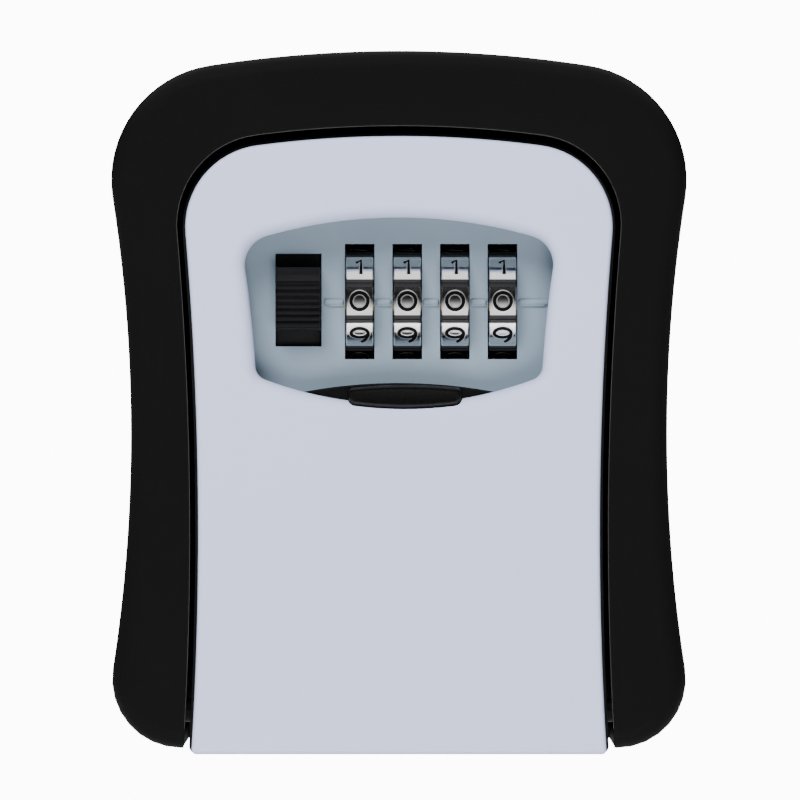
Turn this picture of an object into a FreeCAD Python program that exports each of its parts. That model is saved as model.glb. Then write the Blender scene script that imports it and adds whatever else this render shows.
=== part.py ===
"""Wall-mounted key lock box with a four-wheel code lock and a drop-down door.

The back face lies in the XZ plane at y = 0, the front faces -Y and +Z is up.
The origin is the centre of the four wall-screw holes. Lengths are in millimetres.
"""
import math
import os

import FreeCAD
import Part
import Sketcher

doc = FreeCAD.newDocument("key_lock_box")
sheet = doc.addObject("Spreadsheet::Sheet", "dims")
pieces = []


# ---------------------------------------------------------------- sizes

class Size:
    """A length that carries its number and the sheet expression it comes from."""

    def __init__(self, number, text):
        self.number = float(number)
        self.text = text

    def joined(self, sign, other, number):
        return Size(number, "(" + self.text + " " + sign + " " + other.text + ")")

    def __add__(self, other):
        other = as_size(other)
        return self.joined("+", other, self.number + other.number)

    def __sub__(self, other):
        other = as_size(other)
        return self.joined("-", other, self.number - other.number)

    def __mul__(self, factor):
        factor = as_size(factor)
        return self.joined("*", factor, self.number * factor.number)

    def __truediv__(self, factor):
        factor = as_size(factor)
        return self.joined("/", factor, self.number / factor.number)

    def __neg__(self):
        return as_size(0) - self

    def __radd__(self, other):
        return as_size(other) + self

    def __rsub__(self, other):
        return as_size(other) - self

    def __rmul__(self, factor):
        return as_size(factor) * self


def as_size(value):
    """A plain number is a size whose expression is that number."""
    if isinstance(value, Size):
        return value
    return Size(value, "(" + repr(float(value)) + ")")


def dim(alias, number):
    """Write one driving size in the sheet and return it."""
    row = "A" + str(dim.next_row)
    dim.next_row += 1
    sheet.set(row, str(number))
    sheet.setAlias(row, alias)
    return Size(number, "dims." + alias)


dim.next_row = 1

# Whole object, from the wall (y = 0) to the front.
total_deep = dim("total_deep", 41.0)
slip = dim("slip", 0.2)                       # gap beside a sliding piece
fit_gap = dim("fit_gap", 0.05)                # radial gap of a turning fit

# Outer shell. Its outline follows the door's, given below.
shell_waist_height = dim("shell_waist_height", -5.4)
shell_side_radius = dim("shell_side_radius", 257.0)
shell_top_radius = dim("shell_top_radius", 209.0)
shell_top_corner = dim("shell_top_corner", 19.5)
shell_low_corner = dim("shell_low_corner", 11.6)
shell_wall = dim("shell_wall", 2.5)
shell_edge_round = dim("shell_edge_round", 3.0)

# Door outline, and the gap round it.
door_waist = dim("door_waist", 33.7)
door_waist_height = dim("door_waist_height", -22.0)
door_side_radius = dim("door_side_radius", 600.0)
door_top = dim("door_top", 44.6)
door_top_radius = dim("door_top_radius", 182.0)
door_bottom = dim("door_bottom", -59.1)
door_corner = dim("door_corner", 13.8)
door_low_corner = dim("door_low_corner", 0.8)
door_gap = dim("door_gap", 1.35)
door_top_gap = dim("door_top_gap", 1.7)

shell_rim = dim("shell_rim", 11.4)            # shell's waist beyond the door's
shell_brow = dim("shell_brow", 14.5)          # shell's top above the door's
shell_lift = dim("shell_lift", 0.9)           # shell's bottom above the door's
shell_waist = door_waist + shell_rim
shell_top = door_top + shell_brow
shell_bottom = door_bottom + shell_lift

# Faceplate and its bay.
skin = dim("skin", 2.5)
skin_edge_round = dim("skin_edge_round", 0.9)
bay_waist = dim("bay_waist", 23.8)
bay_waist_height = dim("bay_waist_height", -5.0)
bay_side_radius = dim("bay_side_radius", 184.0)
bay_top = dim("bay_top", 31.0)
bay_top_radius = dim("bay_top_radius", 81.0)
bay_bottom = dim("bay_bottom", -0.3)
bay_bottom_radius = dim("bay_bottom_radius", 64.5)
bay_top_corner = dim("bay_top_corner", 5.0)
bay_low_corner = dim("bay_low_corner", 2.5)
ramp_round = dim("ramp_round", 2.3)

# Door frame.
flange_proud = dim("flange_proud", 0.5)
frame_wall = dim("frame_wall", 2.0)
skirt_step = dim("skirt_step", 1.4)
flange_deep = dim("flange_deep", 8.5)

# Shutter.
shutter_thick = dim("shutter_thick", 1.2)
shutter_half_wide = dim("shutter_half_wide", 26.2)
shutter_top = dim("shutter_top", 3.2)
shutter_top_radius = dim("shutter_top_radius", 87.5)
shutter_bottom = dim("shutter_bottom", -29.2)
grip_half_wide = dim("grip_half_wide", 9.45)
grip_offset = dim("grip_offset", 1.0)
grip_proud = dim("grip_proud", 1.9)
grip_bottom = dim("grip_bottom", -1.0)

# Number wheels.
wheel_radius = dim("wheel_radius", 10.4)
wheel_wide = dim("wheel_wide", 4.6)
wheel_pitch = dim("wheel_pitch", 8.05)
wheel_first = dim("wheel_first", -6.65)
wheel_height = dim("wheel_height", 17.0)
wheel_groove = dim("wheel_groove", 0.55)
window_wide = dim("window_wide", 5.0)
window_high = dim("window_high", 19.5)
axle_radius = dim("axle_radius", 1.3)
sleeve_radius = dim("sleeve_radius", 2.6)
disc_radius = dim("disc_radius", 4.5)
disc_thick = dim("disc_thick", 1.1)
disc_gap = dim("disc_gap", 0.3)               # between a wheel and its disc
key_high = dim("key_high", 0.6)
key_wide = dim("key_wide", 0.9)
code_shift = dim("code_shift", 1.5)

# Dial housing.
land_thick = dim("land_thick", 1.3)
disc_room = dim("disc_room", 0.3)             # between the code discs and the bay floor
floor_thick = dim("floor_thick", 1.2)
tub_wall = dim("tub_wall", 1.2)
tub_hide = dim("tub_hide", 0.6)               # tub wall tucked behind the bay's edge
cheek_thick = dim("cheek_thick", 0.9)

# Open slider.
slot_left = dim("slot_left", -20.9)
slot_wide = dim("slot_wide", 7.8)
slot_low = dim("slot_low", 9.4)
slot_high = dim("slot_high", 15.7)
pad_low = dim("pad_low", 12.1)
pad_high = dim("pad_high", 10.6)
rib_pitch = dim("rib_pitch", 1.05)
rib_deep = dim("rib_deep", 0.4)
latch_travel = dim("latch_travel", 2.6)

# Latch plate, cover and strike.
latch_thick = dim("latch_thick", 1.0)
cover_thick = dim("cover_thick", 1.0)
tongue_half_wide = dim("tongue_half_wide", 9.0)
tongue_bite = dim("tongue_bite", 2.0)
gate_wide = dim("gate_wide", 1.8)
tooth_wide = dim("tooth_wide", 1.2)
free_travel = dim("free_travel", 1.4)         # slider travel before the teeth meet the discs
leaf_thick = dim("leaf_thick", 0.4)
strike_thick = dim("strike_thick", 1.5)
strike_half_wide = dim("strike_half_wide", 13.0)
strike_drop = dim("strike_drop", 0.4)         # strike's top below the top of the door

# Key box.
box_wall = dim("box_wall", 2.2)
back_thick = dim("back_thick", 2.5)
ledge_front = dim("ledge_front", -10.7)
seal_thick = dim("seal_thick", 1.4)
wall_hole_x = dim("wall_hole_x", 24.0)
wall_hole_z = dim("wall_hole_z", 28.0)
wall_hole_radius = dim("wall_hole_radius", 2.25)

# Hinge.
hinge_y = dim("hinge_y", -34.0)
hinge_z = dim("hinge_z", -52.0)
pin_radius = dim("pin_radius", 2.0)
knuckle_radius = dim("knuckle_radius", 3.6)

# Screws and springs.
screw_radius = dim("screw_radius", 1.2)
screw_bite = dim("screw_bite", 1.4)           # how far a screw enters the faceplate
top_post = dim("top_post", 4.5)
web_thick = dim("web_thick", 1.8)
head_radius = dim("head_radius", 2.3)
head_thick = dim("head_thick", 1.5)
spring_radius = dim("spring_radius", 1.8)
wire_radius = dim("wire_radius", 0.22)

# Levels along Y, worked out from the front towards the wall.
front = -total_deep
skin_back = front + skin
shutter_front = skin_back + slip
shutter_back = shutter_front + shutter_thick
land_front = shutter_back + slip
land_back = land_front + land_thick
wheel_y = shutter_back + slip + slip / 2 + wheel_radius
floor_back = wheel_y - disc_radius - disc_room
floor_front = floor_back - floor_thick
leaf_front = wheel_y + wheel_radius + slip
leaf_back = leaf_front + leaf_thick
latch_front = leaf_back + slip + slip / 2
latch_back = latch_front + latch_thick
cover_front = latch_back + slip
cover_back = cover_front + cover_thick

spring_x = bay_waist + 1.0
rim_gap = dim("rim_gap", 0.3)                 # between the shell's skin and the key box's rim
rim_front = skin_back + rim_gap
comb_height = wheel_height - wheel_radius - 2.6

WHEELS = (1, 2, 3, 4)


def door_half_wide(height):
    """Half the door's width at a height on its curved side."""
    rise = height - door_waist_height
    return door_waist + rise * rise / (door_side_radius * 2)


def wheel_x(number):
    """Centre of one number wheel, counted from the left."""
    return wheel_first + wheel_pitch * (number - 1)


def disc_x(number):
    """Left face of one code disc, just right of its wheel."""
    return wheel_x(number) + wheel_wide / 2 + disc_gap


spring_room = dim("spring_room", 6.0)         # length of the code spring
left_cheek = slot_left + slot_wide + 0.1
right_cheek = disc_x(4) + disc_thick + spring_room
lever_left = left_cheek + cheek_thick + 0.15


# ---------------------------------------------------------------- tools

def bind(thing, path, size):
    """Tie one property of an object to the sheet."""
    thing.setExpression(path, as_size(size).text)


def block(name, x_span, y_span, z_span):
    """Box between a low and a high size on each axis."""
    box = doc.addObject("Part::Box", name)
    spans = (("Length", "x", x_span), ("Width", "y", y_span), ("Height", "z", z_span))
    for side, axis, (low, high) in spans:
        bind(box, side, as_size(high) - low)
        bind(box, "Placement.Base." + axis, low)
    return box


TURN = {
    "x": FreeCAD.Rotation(FreeCAD.Vector(0, 1, 0), 90),
    "y": FreeCAD.Rotation(FreeCAD.Vector(1, 0, 0), -90),
    "z": FreeCAD.Rotation(),
}


def put(thing, along, start):
    """Point an object's own Z axis along a frame axis and start it at a point."""
    thing.Placement = FreeCAD.Placement(FreeCAD.Vector(), TURN[along])
    for axis, size in zip("xyz", start):
        bind(thing, "Placement.Base." + axis, size)
    return thing


def rod(name, along, start, radius, length):
    """Cylinder from a start point along one axis."""
    cylinder = doc.addObject("Part::Cylinder", name)
    bind(cylinder, "Radius", radius)
    bind(cylinder, "Height", length)
    return put(cylinder, along, start)


def cone(name, along, start, start_radius, end_radius, length):
    """Cone frustum from a start point along one axis."""
    frustum = doc.addObject("Part::Cone", name)
    bind(frustum, "Radius1", start_radius)
    bind(frustum, "Radius2", end_radius)
    bind(frustum, "Height", length)
    return put(frustum, along, start)


def fuse(name, shapes):
    """One solid from several."""
    joined = doc.addObject("Part::MultiFuse", name)
    joined.Shapes = shapes
    return joined


def cut(name, base, tools):
    """Base less every tool."""
    result = doc.addObject("Part::Cut", name)
    result.Base = base
    result.Tool = tools[0] if len(tools) == 1 else fuse(name + "_tools", tools)
    return result


def group(name, solids):
    """Several separate solids kept in one node."""
    together = doc.addObject("Part::Compound", name)
    together.Links = solids
    return together


def keep(label, thing):
    """Give a finished piece its label and remember it."""
    thing.Label = label
    pieces.append((label, thing))
    return thing


class Outline:
    """Shield-shaped outline: waisted sides, arched top, flat or sagging bottom."""

    def __init__(self, waist, waist_height, side_radius, top, top_radius,
                 bottom, bottom_radius, top_corner, low_corner):
        self.waist = waist
        self.waist_height = waist_height
        self.side_radius = side_radius
        self.top = top
        self.top_radius = top_radius
        self.bottom = bottom
        self.bottom_radius = bottom_radius
        self.top_corner = top_corner
        self.low_corner = low_corner

    def grown(self, gap, top_gap=None, bottom_gap=None):
        """The outline moved outwards by a gap, or inwards by a negative one."""
        top_gap = gap if top_gap is None else top_gap
        bottom_gap = gap if bottom_gap is None else bottom_gap
        low_corner = self.low_corner + gap
        if low_corner.number < 0.4:
            low_corner = self.low_corner
        bottom_radius = None
        if self.bottom_radius is not None:
            bottom_radius = self.bottom_radius + bottom_gap
        return Outline(self.waist + gap, self.waist_height, self.side_radius - gap,
                       self.top + top_gap, self.top_radius + top_gap,
                       self.bottom - bottom_gap, bottom_radius,
                       self.top_corner + gap, low_corner)

    def side_at(self, height):
        """Half width at a height, as a number."""
        radius = self.side_radius.number
        rise = height - self.waist_height.number
        return self.waist.number + radius - math.sqrt(radius ** 2 - rise ** 2)

    def corner(self, upper):
        """Where the right side meets the top or the bottom, before rounding."""
        across = self.waist.number
        for _ in range(40):
            if upper:
                arc = self.top_radius.number
                height = self.top.number - arc + math.sqrt(arc ** 2 - across ** 2)
            elif self.bottom_radius is None:
                height = self.bottom.number
            else:
                arc = self.bottom_radius.number
                height = self.bottom.number + arc - math.sqrt(arc ** 2 - across ** 2)
            across = self.side_at(height)
        return across, height


def tied_arc(sketch, centre, centre_sizes, radius, start, end):
    """Arc drawn anticlockwise between two points, with its circle tied to the sheet."""
    middle = FreeCAD.Vector(centre[0], centre[1], 0)
    angles = [math.atan2(point[1] - centre[1], point[0] - centre[0]) for point in (start, end)]
    circle = Part.Circle(middle, FreeCAD.Vector(0, 0, 1), radius.number)
    arc = sketch.addGeometry(Part.ArcOfCircle(circle, angles[0], angles[1]))
    index = sketch.addConstraint(Sketcher.Constraint("Radius", arc, radius.number))
    bind(sketch, "Constraints[%d]" % index, radius)
    for kind, number, size in zip(("DistanceX", "DistanceY"), centre, centre_sizes):
        index = sketch.addConstraint(Sketcher.Constraint(kind, -1, 1, arc, 3, number))
        bind(sketch, "Constraints[%d]" % index, size)
    return arc


def outline_sketch(body, name, outline, level):
    """Sketch of an outline in the body's XZ plane, moved to a level along Y."""
    sketch = body.newObject("Sketcher::SketchObject", name)
    plane = [item for item in body.Origin.OriginFeatures if item.Role == "XZ_Plane"][0]
    sketch.AttachmentSupport = [(plane, "")]
    sketch.MapMode = "FlatFace"
    bind(sketch, "AttachmentOffset.Base.z", -level)
    high_x, high_z = outline.corner(True)
    low_x, low_z = outline.corner(False)
    side_centre = outline.waist + outline.side_radius
    top_centre = outline.top - outline.top_radius
    top = tied_arc(sketch, (0, top_centre.number), (as_size(0), top_centre),
                   outline.top_radius, (high_x, high_z), (-high_x, high_z))
    left = tied_arc(sketch, (-side_centre.number, outline.waist_height.number),
                    (-side_centre, outline.waist_height), outline.side_radius,
                    (-low_x, low_z), (-high_x, high_z))
    right = tied_arc(sketch, (side_centre.number, outline.waist_height.number),
                     (side_centre, outline.waist_height), outline.side_radius,
                     (high_x, high_z), (low_x, low_z))
    if outline.bottom_radius is None:
        ends = (FreeCAD.Vector(-low_x, low_z, 0), FreeCAD.Vector(low_x, low_z, 0))
        bottom = sketch.addGeometry(Part.LineSegment(*ends))
        index = sketch.addConstraint(Sketcher.Constraint("DistanceY", -1, 1, bottom, 1, low_z))
        bind(sketch, "Constraints[%d]" % index, outline.bottom)
    else:
        low_centre = outline.bottom + outline.bottom_radius
        bottom = tied_arc(sketch, (0, low_centre.number), (as_size(0), low_centre),
                          outline.bottom_radius, (-low_x, low_z), (low_x, low_z))
    joints = ((top, 2, left, 2), (left, 1, bottom, 1), (bottom, 2, right, 2), (right, 1, top, 1))
    for first, first_end, second, second_end in joints:
        meeting = Sketcher.Constraint("Coincident", first, first_end, second, second_end)
        sketch.addConstraint(meeting)
    return sketch


def upright_edges(shape, upper, inside=None):
    """Names of the straight edges along Y above or below the middle of a shape."""
    names = []
    for index, edge in enumerate(shape.Edges, 1):
        ends = [vertex.Point for vertex in edge.Vertexes]
        if len(ends) != 2 or abs(ends[0].x - ends[1].x) > 1e-4:
            continue
        if abs(ends[0].z - ends[1].z) > 1e-4:
            continue
        if inside is not None and not inside(ends[0]):
            continue
        middle = (shape.BoundBox.ZMin + shape.BoundBox.ZMax) / 2
        if inside is not None:
            middle = inside.middle
        if (ends[0].z > middle) == upper:
            names.append("Edge%d" % index)
    return names


def level_edges(shape, level, wanted):
    """Names of the edges lying at one level along Y that pass a test on their middle."""
    names = []
    for index, edge in enumerate(shape.Edges, 1):
        box = edge.BoundBox
        if abs(box.YMin - level) > 1e-3 or abs(box.YMax - level) > 1e-3:
            continue
        if wanted(box.Center):
            names.append("Edge%d" % index)
    return names


def round_edges(body, name, names, radius):
    """Fillet named edges of the body's last feature."""
    base = body.Tip
    fillet = body.newObject("PartDesign::Fillet", name)
    fillet.Base = (base, names)
    bind(fillet, "Radius", radius)
    body.Tip = fillet
    doc.recompute()
    return fillet


def prism(name, outline, low, high):
    """Body with an outline extruded from one level along Y to another, corners rounded."""
    body = doc.addObject("PartDesign::Body", name)
    sketch = outline_sketch(body, name + "_outline", outline, high)
    pad = body.newObject("PartDesign::Pad", name + "_pad")
    pad.Profile = sketch
    bind(pad, "Length", as_size(high) - low)
    body.Tip = pad
    doc.recompute()
    round_edges(body, name + "_top_corners", upright_edges(pad.Shape, True), outline.top_corner)
    low_names = upright_edges(body.Tip.Shape, False)
    round_edges(body, name + "_low_corners", low_names, outline.low_corner)
    return body


class Within:
    """Test for points inside the bay's rectangle, which also knows its middle height."""

    def __init__(self, half_wide, low, high):
        self.half_wide = half_wide
        self.low = low
        self.high = high
        self.middle = (low + high) / 2

    def __call__(self, point):
        return abs(point.x) < self.half_wide and self.low < point.z < self.high


def screw(name, spot, head_level, length):
    """Round-headed screw along Y: its head sits behind a face and its shank goes forwards."""
    x, z = spot
    shank_start = as_size(head_level) - length
    shank = rod(name + "_shank", "y", (x, shank_start, z), screw_radius, length + head_thick / 2)
    crown = rod(name + "_head", "y", (x, head_level, z), head_radius, head_thick)
    slot = block(name + "_slot", (as_size(x) - head_radius * 0.6, as_size(x) + head_radius * 0.6),
                 (as_size(head_level) + head_thick * 0.55, as_size(head_level) + head_thick + 1),
                 (as_size(z) - 0.25, as_size(z) + 0.25))
    cross = block(name + "_cross", (as_size(x) - 0.25, as_size(x) + 0.25),
                  (as_size(head_level) + head_thick * 0.55, as_size(head_level) + head_thick + 1),
                  (as_size(z) - head_radius * 0.6, as_size(z) + head_radius * 0.6))
    return cut(name, fuse(name + "_blank", [shank, crown]), [slot, cross])


def flat_screw(name, spot, face_level, length):
    """Countersunk screw along Y, flush with a face that looks towards +Y."""
    x, z = spot
    head_deep = head_thick * 0.6
    shank = rod(name + "_shank", "y", (x, as_size(face_level) - length, z), screw_radius, length - 0.1)
    crown = cone(name + "_head", "y", (x, as_size(face_level) - head_deep, z),
                 screw_radius, head_radius, head_deep)
    arms = []
    for turn, wide, high in (("slot", head_radius * 0.6, as_size(0.25)),
                             ("cross", as_size(0.25), head_radius * 0.6)):
        arms.append(block(name + "_" + turn, (as_size(x) - wide, as_size(x) + wide),
                          (as_size(face_level) - head_deep * 0.5, as_size(face_level) + 1),
                          (as_size(z) - high, as_size(z) + high)))
    return cut(name, fuse(name + "_blank", [shank, crown]), arms)


def sunk_hole(name, spot, face_level, depth):
    """Cutting shape for one countersunk screw: a clear hole and a cone."""
    x, z = spot
    head_deep = head_thick * 0.6
    hole = rod(name + "_hole", "y", (x, as_size(face_level) - depth, z), screw_radius, depth + 1)
    sink = cone(name + "_sink", "y", (x, as_size(face_level) - head_deep, z),
                screw_radius, head_radius, head_deep)
    return [hole, sink]


shell_outline = Outline(shell_waist, shell_waist_height, shell_side_radius, shell_top,
                        shell_top_radius, shell_bottom, None, shell_top_corner, shell_low_corner)
door_outline = Outline(door_waist, door_waist_height, door_side_radius, door_top,
                       door_top_radius, door_bottom, None, door_corner, door_low_corner)
bay_outline = Outline(bay_waist, bay_waist_height, bay_side_radius, bay_top, bay_top_radius,
                      bay_bottom, bay_bottom_radius, bay_top_corner, bay_low_corner)
opening_outline = door_outline.grown(door_gap, door_top_gap, 12.0)

# Screw places, as (x, z) pairs.
post_radius = dim("post_radius", 3.0)
SHELL_SPOTS = [(side * (shell_waist - 4.1), shell_top - 19.1) for side in (-1, 1)]
SHELL_SPOTS += [(side * (shell_waist - 3.6), shell_bottom + 14.2) for side in (-1, 1)]
TOP_SPOTS = [(side * 19.0, door_top - 5.4) for side in (-1, 1)]
LOW_SPOTS = [(side * 24.0, door_bottom + 13.1) for side in (-1, 1)]
LAND_SPOTS = [(side * (shutter_half_wide + 0.3), height)
              for side in (-1, 1) for height in (bay_top + 2.4, shutter_bottom - 3.0)]
COVER_SPOTS = [(side * (door_half_wide(door_top - 10.6) - 8.3), door_top - 10.6) for side in (-1, 1)]
COVER_SPOTS += [(side * (door_waist - 6.0), shutter_bottom - 0.8) for side in (-1, 1)]
STRIKE_SPOTS = [(side * 8.5, door_top - 5.4) for side in (-1, 1)]


# ---------------------------------------------------------------- box body

def outer_shell():
    """Moulded black cover, open at the back and round the door."""
    blank = prism("shell_blank", shell_outline, front, 0)
    edges = level_edges(blank.Shape, front.number, lambda point: True)
    round_edges(blank, "shell_front_round", edges, shell_edge_round)
    hollow = prism("shell_hollow", shell_outline.grown(-shell_wall), skin_back, 1)
    opening = prism("shell_opening", opening_outline, front - 1, skin_back + 1)
    door_way = block("shell_door_way", (-(door_waist + door_gap * 2), door_waist + door_gap * 2),
                     (skin_back - 0.1, ledge_front), (door_bottom - 10, shell_bottom + 6))
    hulled = cut("shell_hulled", blank, [hollow, opening, door_way])
    posts = [rod("shell_post", "y", (x, skin_back - 0.5, z), post_radius,
                 -skin_back + 0.5 - back_thick - 0.2) for x, z in SHELL_SPOTS]
    pilots = [rod("shell_pilot", "y", (x, as_size(-12.0), z), screw_radius, 13)
              for x, z in SHELL_SPOTS]
    keep("outer_shell", cut("outer_shell_solid", fuse("shell_posted", [hulled] + posts), pilots))


def inner_box():
    """Die-cast key box: back plate, deep walls, ledge, strike block and hinge walls."""
    plate = prism("box_plate", shell_outline.grown(-shell_wall - slip), -back_thick, 0)
    box_low = door_bottom - shell_bottom - shell_wall - 0.3
    inside = opening_outline.grown(0.25, 0.25, box_low - 12.0 - box_wall)
    outside = opening_outline.grown(0.25 + box_wall, 0.25 + box_wall, box_low - 12.0)
    wall = prism("box_wall_outer", outside, rim_front, -back_thick + 1)
    well = prism("box_well", inside, rim_front - 1, ledge_front)
    store = prism("box_store", door_outline.grown(-3.0, -3.0, -8.0), ledge_front - 1, -back_thick)
    strike_block = block("box_strike_block", (-strike_half_wide, strike_half_wide),
                         (ledge_front, -back_thick + 1), (door_top - 8, door_top + 3))
    door_way = block("box_door_way", (-(door_waist + door_gap * 2), door_waist + door_gap * 2),
                     (rim_front - 1, ledge_front), (door_bottom - 10, shell_bottom + 8))
    tub = cut("box_tub", wall, [well, store, door_way])
    solid = fuse("box_cast", [plate, tub, strike_block])
    holes = []
    for side in (-1, 1):
        start = side * (door_waist + door_gap + 2) - 4
        holes.append(rod("box_pin_hole", "x", (start, hinge_y, hinge_z), pin_radius, 8))
        for up in (-1, 1):
            spot = (side * wall_hole_x, up * wall_hole_z)
            holes.append(rod("box_wall_hole", "y", (spot[0], -back_thick - 1, spot[1]),
                             wall_hole_radius, back_thick + 2))
    for x, z in SHELL_SPOTS:
        holes += sunk_hole("box_shell_screw", (x, z), 0, back_thick + 1)
    for x, z in STRIKE_SPOTS:
        holes.append(rod("box_strike_pilot", "y", (x, ledge_front - 1, z), screw_radius, 8))
    keep("inner_box", cut("inner_box_solid", solid, holes))


def strike_plate():
    """Pressed steel angle whose slot takes the latch tongue."""
    low = door_top - strike_drop - strike_thick
    leg_back = ledge_front
    shelf = block("strike_shelf", (-strike_half_wide, strike_half_wide),
                  (latch_front - 2.0, leg_back), (low, low + strike_thick))
    leg = block("strike_leg", (-strike_half_wide, strike_half_wide),
                (leg_back - 1.2, leg_back), (door_top - 7.8, low + strike_thick))
    mouth = tongue_half_wide + 0.4
    slot = block("strike_slot", (-mouth, mouth), (latch_front - 0.3, latch_back + 0.3),
                 (low - 1, low + strike_thick + 1))
    holes = []
    for index, (x, z) in enumerate(STRIKE_SPOTS):
        holes.append(rod("strike_hole", "y", (x, leg_back - 3, z), screw_radius + 0.1, 4))
    keep("strike_plate", cut("strike_solid", fuse("strike_angle", [shelf, leg]), [slot] + holes))


def strike_screws():
    """Two low screws through the strike's leg into the box."""
    screws = []
    for index, (x, z) in enumerate(STRIKE_SPOTS):
        leg_front = ledge_front - 1.2
        shank = rod("strike_screw_shank", "y", (x, leg_front - 0.1, z), screw_radius, 6)
        crown = rod("strike_screw_head", "y", (x, leg_front - 0.6, z), head_radius, 0.6)
        screws.append(fuse("strike_screw", [shank, crown]))
    keep("strike_screws", group("strike_screws_group", screws))


def shell_screws():
    """Four countersunk screws that hold the shell to the box from the back."""
    screws = [flat_screw("shell_screw", spot, 0, as_size(10.0)) for spot in SHELL_SPOTS]
    keep("shell_screws", group("shell_screws_group", screws))


def seals():
    """Rubber strips on the box's ledge, one down each side."""
    level = ledge_front - seal_thick
    band = prism("seal_band", door_outline.grown(0.6, 0.6, -13.0), level, ledge_front)
    core = prism("seal_core", door_outline.grown(-2.2, -2.2, -10.0), level - 1, ledge_front + 1)
    ring = cut("seal_ring", band, [core])
    reach = shell_waist + 10
    for side, name in ((-1, "seal_left"), (1, "seal_right")):
        edges = (strike_half_wide + 0.5, reach) if side > 0 else (-reach, -strike_half_wide - 0.5)
        half = block(name + "_half", edges, (level - 2, ledge_front + 2), (-46, door_top + 5))
        strip = doc.addObject("Part::Common", name + "_strip")
        strip.Base = ring
        strip.Tool = half
        keep(name, strip)


def hinge_pins():
    """Steel pins pressed into the box walls, on which the door swings."""
    outer = door_waist + door_gap + 3.9
    inner = door_waist - 5.5
    keep("hinge_pin_left", rod("pin_left", "x", (-outer, hinge_y, hinge_z), pin_radius, outer - inner))
    keep("hinge_pin_right", rod("pin_right", "x", (inner, hinge_y, hinge_z), pin_radius, outer - inner))


# ---------------------------------------------------------------- door body

def door_faceplate():
    """Cast and painted front of the door, with the soft ramp round its bay."""
    body = prism("face_plate", door_outline, front, skin_back)
    bay_sketch = outline_sketch(body, "bay_sketch", bay_outline, front)
    before = body.Shape.Volume
    pocket = body.newObject("PartDesign::Pocket", "bay_pocket")
    pocket.Profile = bay_sketch
    bind(pocket, "Length", skin + 1)
    body.Tip = pocket
    doc.recompute()
    if body.Shape.Volume > before - 100:
        raise RuntimeError("the bay pocket cuts nothing")
    inside = Within(bay_outline.waist.number + 4, bay_bottom.number - 4, bay_top.number + 4)
    names = upright_edges(body.Tip.Shape, True, inside)
    round_edges(body, "bay_top_corners", names, bay_top_corner)
    names = upright_edges(body.Tip.Shape, False, inside)
    round_edges(body, "bay_low_corners", names, bay_low_corner)
    names = level_edges(body.Tip.Shape, front.number, inside)
    round_edges(body, "bay_ramp", names, ramp_round)
    far = Within(bay_outline.waist.number + 5, bay_bottom.number - 5, bay_top.number + 5)
    names = level_edges(body.Tip.Shape, front.number, lambda point: outer_edge(point, far))
    round_edges(body, "face_edge", names, skin_edge_round)
    relief = block("grip_relief", (grip_offset - grip_half_wide - slip,
                                   grip_offset + grip_half_wide + slip),
                   (front - 1, skin_back + 1), (grip_bottom - slip, bay_bottom + 2))
    pilots = [rod("face_pilot", "y", (x, skin_back - 1.5, z), screw_radius, 3)
              for x, z in TOP_SPOTS + LOW_SPOTS + LAND_SPOTS]
    keep("door_faceplate", cut("faceplate_solid", body, [relief] + pilots))


def outer_edge(point, bay):
    """True for a point on the door's outer outline: far from the bay, or below or above it."""
    return abs(point.x) > bay.half_wide or not bay.low < point.z < bay.high


def door_frame():
    """Cast carrier behind the faceplate: stepped wall, web, posts and hinge knuckles."""
    step = skin_back + flange_deep
    flange = prism("frame_flange", door_outline.grown(flange_proud, flange_proud, 0), skin_back, step)
    skirt = prism("frame_skirt", door_outline.grown(-skirt_step), step - 1, cover_back)
    front_room = prism("frame_front_room", door_outline.grown(-frame_wall), skin_back - 1, step - 2)
    back_room = prism("frame_back_room", door_outline.grown(-skirt_step - frame_wall),
                      step - 3, cover_back + 1)
    ring = cut("frame_ring", fuse("frame_outer", [flange, skirt]), [front_room, back_room])
    web = block("frame_web", (-(door_waist - 1), door_waist - 1), (skin_back, skin_back + web_thick),
                (door_bottom + 1, shutter_bottom - 6))
    extras = [web]
    for x, z in TOP_SPOTS:
        extras.append(rod("frame_top_post", "y", (x, skin_back, z), as_size(2.8), top_post))
    for x, z in COVER_SPOTS:
        extras.append(rod("frame_cover_post", "y", (x, step - 2.5, z), post_radius,
                          cover_front - step + 2.5))
    knuckle_inner = door_waist - 6.2
    knuckle_length = door_waist + 0.9 - knuckle_inner
    tools = []
    for side in (-1, 1):
        start = knuckle_inner if side > 0 else -knuckle_inner - knuckle_length
        extras.append(rod("frame_knuckle", "x", (start, hinge_y, hinge_z),
                          knuckle_radius, knuckle_length))
        tools.append(rod("frame_bore", "x", (start - 3, hinge_y, hinge_z),
                         pin_radius + fit_gap, knuckle_length + 6))
    tools.append(block("frame_notch", (-strike_half_wide - 1.5, strike_half_wide + 1.5),
                       (latch_front - 3, cover_back + 1), (door_top - 3.7, door_top + 5)))
    for x, z in TOP_SPOTS + LOW_SPOTS:
        tools.append(rod("frame_screw_hole", "y", (x, skin_back - 1, z), screw_radius, 8))
    for x, z in COVER_SPOTS:
        tools.append(rod("frame_cover_pilot", "y", (x, cover_front - 7, z), screw_radius, 8))
    keep("door_frame", cut("frame_solid", fuse("frame_full", [ring] + extras), tools))


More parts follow.
